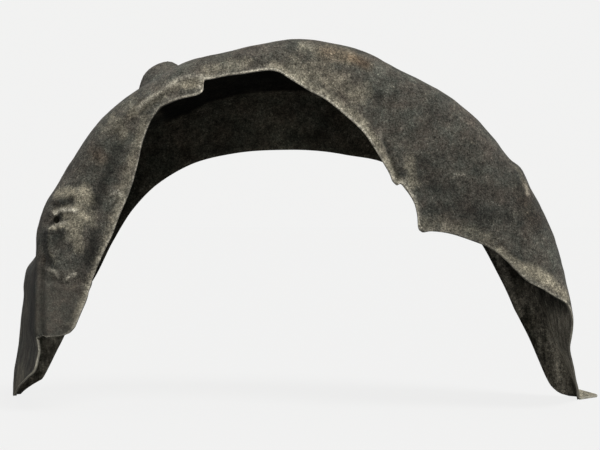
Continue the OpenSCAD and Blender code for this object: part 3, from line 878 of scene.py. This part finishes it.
def felt_material(name, colors, dust_and_light, bare_and_highlight, grain, dark, worn_and_highlit, sheen, mottle):
    """Felt with blotches between two colours, dust with painted light, wear with painted highlights, dirt
    with painted shade, rust, streaks, grain and pale fibres.
    """
    felt = Felt(name)
    blotch = felt.ramp(felt.noise_at(*BLOTCHES), [(0.33, colors[0]), (0.67, colors[1])])
    tint = felt.ramp(felt.noise_at(*TINTS), [(0.36, COOL_TINT), (0.64, WARM_TINT)])
    clouds = felt.ramp(felt.noise_at(*CLOUDS), [(0.36, grey(1 - mottle)), (0.64, grey(1 + mottle))])
    base = felt.mix("MULTIPLY", 1.0, felt.mix("MULTIPLY", 1.0, blotch, tint), clouds)
    # Dust, with painted light on rims and in shaded places
    dusty_and_lit = felt.mix("MIX", felt.dust_and_light_cover(felt.mark("dust_and_light")), base, (*dust_and_light, 1))
    # Wear, and painted highlights on ridges and along the edge's corner
    rubbed_and_highlit = felt.ramp(felt.noise_at(*FLUFF), [(0.34, grey(0.3 * worn_and_highlit)), (0.6, grey(worn_and_highlit))])
    edged = felt.mix("MIX", felt.math("MULTIPLY", felt.mark("worn_and_highlit"), rubbed_and_highlit), dusty_and_lit, (*bare_and_highlight, 1))
    # Dirt, and painted shade in hollows, folds and under the tread
    dirty_and_shaded = felt.mix("MULTIPLY", felt.mark("dark"), edged, dark)
    rusty = felt.mix("MULTIPLY", felt.mark("rust"), dirty_and_shaded, RUST_TINT)
    streaks = felt.ramp(felt.noise_at(*STREAKS, STREAK_STRETCH), [(0.35, grey(0.45)), (0.65, grey(1.7))])
    color = felt.mix("MULTIPLY", felt.mark("streak"), rusty, streaks)
    clumps = felt.ramp(felt.noise_at(*CLUMPS), [(0.3, grey(0.45)), (0.7, grey(1.6))])
    specks = felt.ramp(felt.noise_at(*SPECKS), [(0.3, grey(0.6)), (0.7, grey(1.45))])
    grains = felt.ramp(felt.noise_at(*GRAINS), [(0.3, grey(1 - grain)), (0.7, grey(1 + grain))])
    fibres = felt.ramp(felt.noise_at(*FIBRES), [(0.60, grey(1)), (0.72, grey(1 + 2 * grain))])
    for speckle in (clumps, specks, grains, fibres):
        color = felt.mix("MULTIPLY", felt.mark("coarse"), color, speckle)
    return felt.finish(color, sheen)


def cut_edge_material(name, pale, deep):
    """Cut edge of the felt: pale beside the outer skin, and darker towards the inner skin, with painted shade
    along parts of the arch.
    """
    felt = Felt(name)
    across = felt.ramp(felt.mark("rim"), [(0.45, pale), (0.95, deep)])
    patchy = felt.ramp(felt.noise_at(*EDGE_PATCHES), [(0.35, grey(0.75)), (0.65, grey(1.2))])
    grains = felt.ramp(felt.noise_at(*GRAINS), [(0.3, grey(0.6)), (0.7, grey(1.4))])
    shaded = felt.mix("MULTIPLY", felt.mark("edge_dark"), across, EDGE_SHADE)
    color = felt.mix("MULTIPLY", 1.0, felt.mix("MULTIPLY", 1.0, shaded, patchy), grains)
    return felt.finish(color, EDGE_SHEEN)


# In the order of OUTER_FACE, INNER_FACE and CUT_FACE
skin.data.materials.append(felt_material(
    "felt_outer", colors=[(0.042, 0.041, 0.037), (0.112, 0.105, 0.091)], dust_and_light=(0.32, 0.288, 0.212),
    bare_and_highlight=(0.50, 0.465, 0.375), grain=0.85, dark=(0.30, 0.31, 0.31, 1), worn_and_highlit=0.85, sheen=0.08, mottle=0.15))
# Inner felt darker than the outer: partly the felt's own darker side, partly painted shade inside the arch
skin.data.materials.append(felt_material(
    "felt_inner", colors=[(0.024, 0.024, 0.020), (0.062, 0.058, 0.046)], dust_and_light=(0.42, 0.385, 0.31),
    bare_and_highlight=(0.30, 0.28, 0.22), grain=0.85, dark=(0.14, 0.14, 0.14, 1), worn_and_highlit=0.3, sheen=0.02, mottle=0.35))
skin.data.materials.append(cut_edge_material("felt_cut_edge", (0.50, 0.47, 0.38), (0.09, 0.085, 0.07)))
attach(skin, "root")
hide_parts("liner")

# Camera at the photograph's viewing angle: level, a little over 2 m in front of the inboard side.
CAMERA_PLACE = (-0.0055, -2.220, 0.252)
LENS_MM, SENSOR_MM = 95.16, 36.0
camera_data = bpy.data.cameras.new("camera")
camera_data.lens = LENS_MM
camera_data.sensor_width = SENSOR_MM
camera = bpy.data.objects.new("camera", camera_data)
camera.location = CAMERA_PLACE
camera.rotation_euler = (np.pi / 2, 0, 0)
bpy.context.scene.collection.objects.link(camera)
bpy.context.scene.camera = camera


def soft_sun(name, toward, strength, spread):
    """Even light from far away. Toward points from the object to the light, and spread is in degrees."""
    lamp = bpy.data.lights.new(name, "SUN")
    lamp.energy = strength
    lamp.angle = np.radians(spread)
    holder = bpy.data.objects.new(name, lamp)
    holder.rotation_euler = Vector(toward).to_track_quat("Z", "Y").to_euler()
    bpy.context.scene.collection.objects.link(holder)


soft_sun("key_light", toward=(0.36, -0.50, 0.80), strength=3.0, spread=26)
soft_sun("front_light", toward=(-0.1, -1.0, 0.10), strength=0.45, spread=30)
soft_sun("top_light", toward=(0.0, 0.1, 1.0), strength=0.3, spread=45)

# Floor and backdrop, in metres. The floor lies just below the feet, so that the two are never in one plane.
FLOOR_SIZE = 400.0
FLOOR_DROP = 0.0005
FLOOR_COLOR = (0.30, 0.30, 0.297, 1)
FLOOR_ROUGHNESS = 0.9
FLOOR_GLOW = (1.0, 1.0, 0.995, 1)
GLOW_SHARE = 0.83
BACKDROP = (0.885, 0.885, 0.88, 1)
WORLD_LIGHT = 0.15


def camera_sees(tree, plain, pale, share=1.0):
    """The plain shader, with a share of the pale one for what the camera sees directly."""
    seen = tree.nodes.new("ShaderNodeLightPath")
    part = tree.nodes.new("ShaderNodeMath")
    part.operation = "MULTIPLY"
    part.inputs[1].default_value = share
    blend = tree.nodes.new("ShaderNodeMixShader")
    tree.links.new(seen.outputs["Is Camera Ray"], part.inputs[0])
    tree.links.new(part.outputs[0], blend.inputs["Fac"])
    tree.links.new(plain.outputs[0], blend.inputs[1])
    tree.links.new(pale.outputs[0], blend.inputs[2])
    return blend.outputs[0]


def pale_floor():
    """A pale floor that keeps the shadow, and looks as pale as the backdrop from the camera."""
    mesh = bpy.data.meshes.new("floor")
    h = FLOOR_SIZE / 2
    mesh.from_pydata([(-h, -h, 0), (h, -h, 0), (h, h, 0), (-h, h, 0)], [], [(0, 1, 2, 3)])
    floor = bpy.data.objects.new("floor", mesh)
    floor.location.z = -FLOOR_DROP
    bpy.context.scene.collection.objects.link(floor)
    material = bpy.data.materials.new("floor_pale")
    material.use_nodes = True
    tree = material.node_tree
    principled = tree.nodes["Principled BSDF"]
    principled.inputs["Base Color"].default_value = FLOOR_COLOR
    principled.inputs["Roughness"].default_value = FLOOR_ROUGHNESS
    principled.inputs["Specular IOR Level"].default_value = 0.0
    glow = tree.nodes.new("ShaderNodeEmission")
    glow.inputs["Color"].default_value = FLOOR_GLOW
    glow.inputs["Strength"].default_value = 1.0
    surface = tree.nodes["Material Output"].inputs["Surface"]
    tree.links.new(camera_sees(tree, principled, glow, GLOW_SHARE), surface)
    mesh.materials.append(material)
    return floor


def pale_world():
    """Soft light from all sides, and a pale backdrop for the camera."""
    world = bpy.data.worlds.new("world")
    bpy.context.scene.world = world
    world.use_nodes = True
    tree = world.node_tree
    soft = tree.nodes["Background"]
    soft.inputs["Color"].default_value = (1, 1, 1, 1)
    soft.inputs["Strength"].default_value = WORLD_LIGHT
    pale = tree.nodes.new("ShaderNodeBackground")
    pale.inputs["Color"].default_value = BACKDROP
    pale.inputs["Strength"].default_value = 1.0
    tree.links.new(camera_sees(tree, soft, pale), tree.nodes["World Output"].inputs["Surface"])


pale_floor()
pale_world()
bpy.context.scene.view_settings.view_transform = "Standard"
